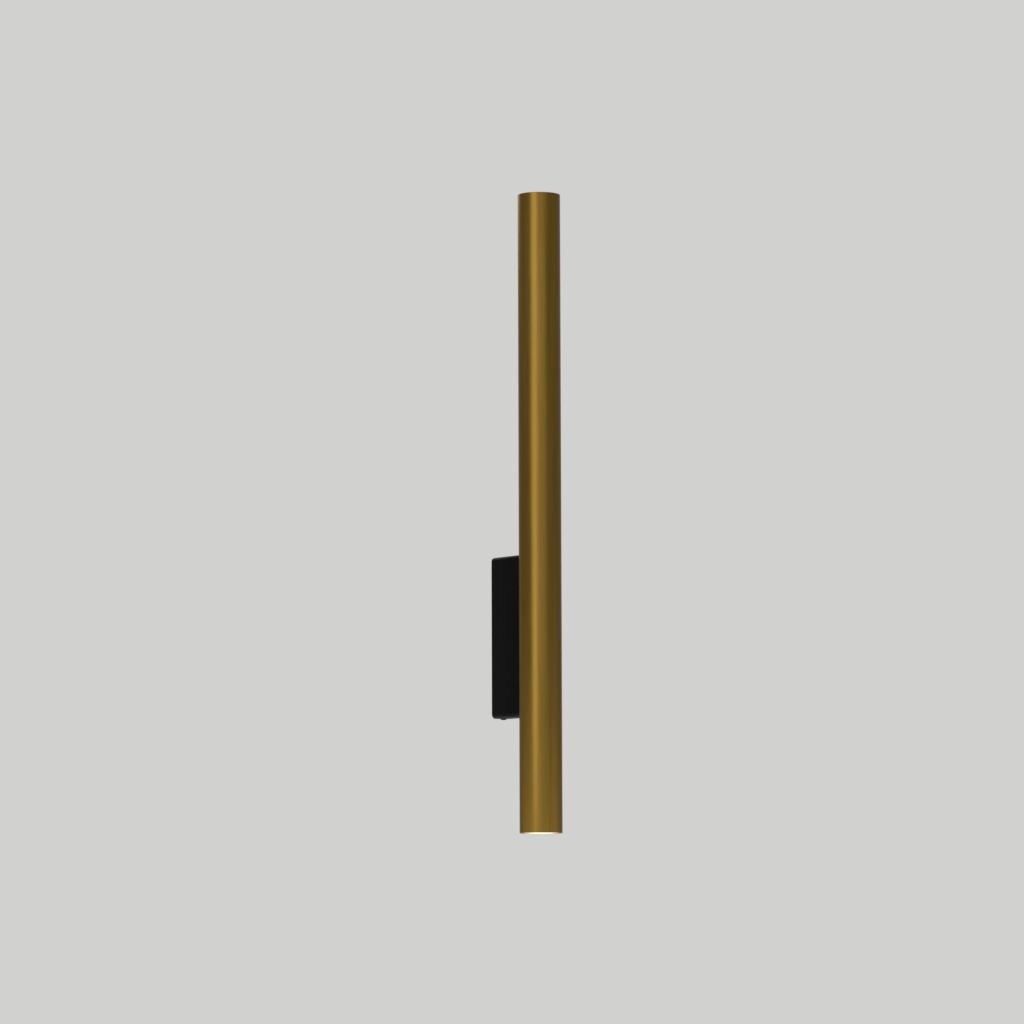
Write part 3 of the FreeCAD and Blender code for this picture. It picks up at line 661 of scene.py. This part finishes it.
def buildFloor(look):
    bm = bmesh.new()
    bmesh.ops.create_grid(bm, x_segments=look["squares"], y_segments=look["squares"], size=look["half"])
    floor = addObject("studioFloor", meshFrom(bm))
    floor.location = (0, 0, look["height"])
    material, tree, links = newMaterial("pale_floor")
    shader = tree["Principled BSDF"]
    shader.inputs["Roughness"].default_value = look["roughness"]
    tones = twoTones(tree, links, noiseField(tree, links, look["patch"]), look)
    links.new(tones, shader.inputs["Base Color"])
    links.new(tones, shader.inputs["Emission Color"])
    lift = addNode(tree, "Math", operation="MULTIPLY")
    lift.inputs[1].default_value = look["lift"] / look["light"][0]
    links.new(seenRay(tree, links), lift.inputs[0])
    links.new(lift.outputs[0], shader.inputs["Emission Strength"])
    floor.data.materials.append(material)


def backdropShare(tree, links, look):
    # 1 where the backdrop shows in full: to the camera everywhere, off metal only round paleWay
    way = addNode(tree, "TexCoord")
    facing = addNode(tree, "VectorMath", operation="DOT_PRODUCT")
    facing.inputs[1].default_value = look["paleWay"]
    links.new(way.outputs["Generated"], facing.inputs[0])
    pale = spread(tree, links, facing.outputs["Value"], (0, 1), (look["paleFrom"], look["paleTo"]))
    pale.node.interpolation_type = "SMOOTHSTEP"
    rays = addNode(tree, "LightPath")
    shown = addNode(tree, "Math", operation="MAXIMUM")
    links.new(pale, shown.inputs[0])
    links.new(rays.outputs["Is Camera Ray"], shown.inputs[1])
    return shown.outputs[0]


def buildWorld(look):
    world = bpy.data.worlds.new("studio")
    bpy.context.scene.world = world
    world.use_nodes = True
    tree, links = world.node_tree.nodes, world.node_tree.links
    tree.clear()
    tones = addNode(tree, "Mix", data_type="RGBA")
    tones.inputs["A"].default_value = (*look["roomSide"], 1)
    tones.inputs["B"].default_value = (*look["backdrop"], 1)
    links.new(backdropShare(tree, links, look), tones.inputs["Factor"])
    seen = addNode(tree, "Background")
    links.new(tones.outputs["Result"], seen.inputs["Color"])
    room = addNode(tree, "Background")
    room.inputs["Color"].default_value = (*look["roomLight"], 1)
    room.inputs["Strength"].default_value = look["roomStrength"]
    mix = addNode(tree, "MixShader")
    links.new(seenRay(tree, links), mix.inputs[0])
    links.new(room.outputs[0], mix.inputs[1])
    links.new(seen.outputs[0], mix.inputs[2])
    out = addNode(tree, "OutputWorld")
    links.new(mix.outputs[0], out.inputs["Surface"])


def addSoftLamp(name, look):
    lamp = bpy.data.lights.new(name, "AREA")
    lamp.shape = "RECTANGLE"
    lamp.size = look["width"]
    lamp.size_y = look["height"]
    lamp.energy = look["power"]
    lamp.color = look["colour"]
    holder = addObject(name, lamp)
    holder.location = look["place"]
    holder.rotation_mode = "QUATERNION"
    holder.rotation_quaternion = (Vector(look["place"]) - Vector(lampTarget)).to_track_quat("Z", "Y")
    holder.visible_camera = False


buildFloor(floorLook)
buildWorld(worldLook)
for name, look in softLamps.items():
    addSoftLamp(name, look)
print("studio built")


# Camera, placed from the photograph's perspective; angles in degrees

cameraLook = dict(
    place=(-2.9171, -3.6009, -0.34), azimuth=39.156, pitch=5.667, roll=0.175, lens=173.2, sensor=36.0,
    nearest=0.05, farthest=60.0)


def buildCamera(look):
    data = bpy.data.cameras.new("photoCamera")
    data.lens = look["lens"]
    data.sensor_width = look["sensor"]
    data.clip_start = look["nearest"]
    data.clip_end = look["farthest"]
    camera = addObject("photoCamera", data)
    camera.location = look["place"]
    a, p = math.radians(look["azimuth"]), math.radians(look["pitch"])
    forward = Vector((math.sin(a) * math.cos(p), math.cos(a) * math.cos(p), math.sin(p)))
    turn = Matrix.Rotation(math.radians(look["roll"]), 3, forward)
    camera.rotation_mode = "QUATERNION"
    camera.rotation_quaternion = (turn @ forward.to_track_quat("-Z", "Y").to_matrix()).to_quaternion()
    bpy.context.scene.camera = camera


buildCamera(cameraLook)
bpy.context.scene.view_settings.view_transform = "Standard"
print("camera set")
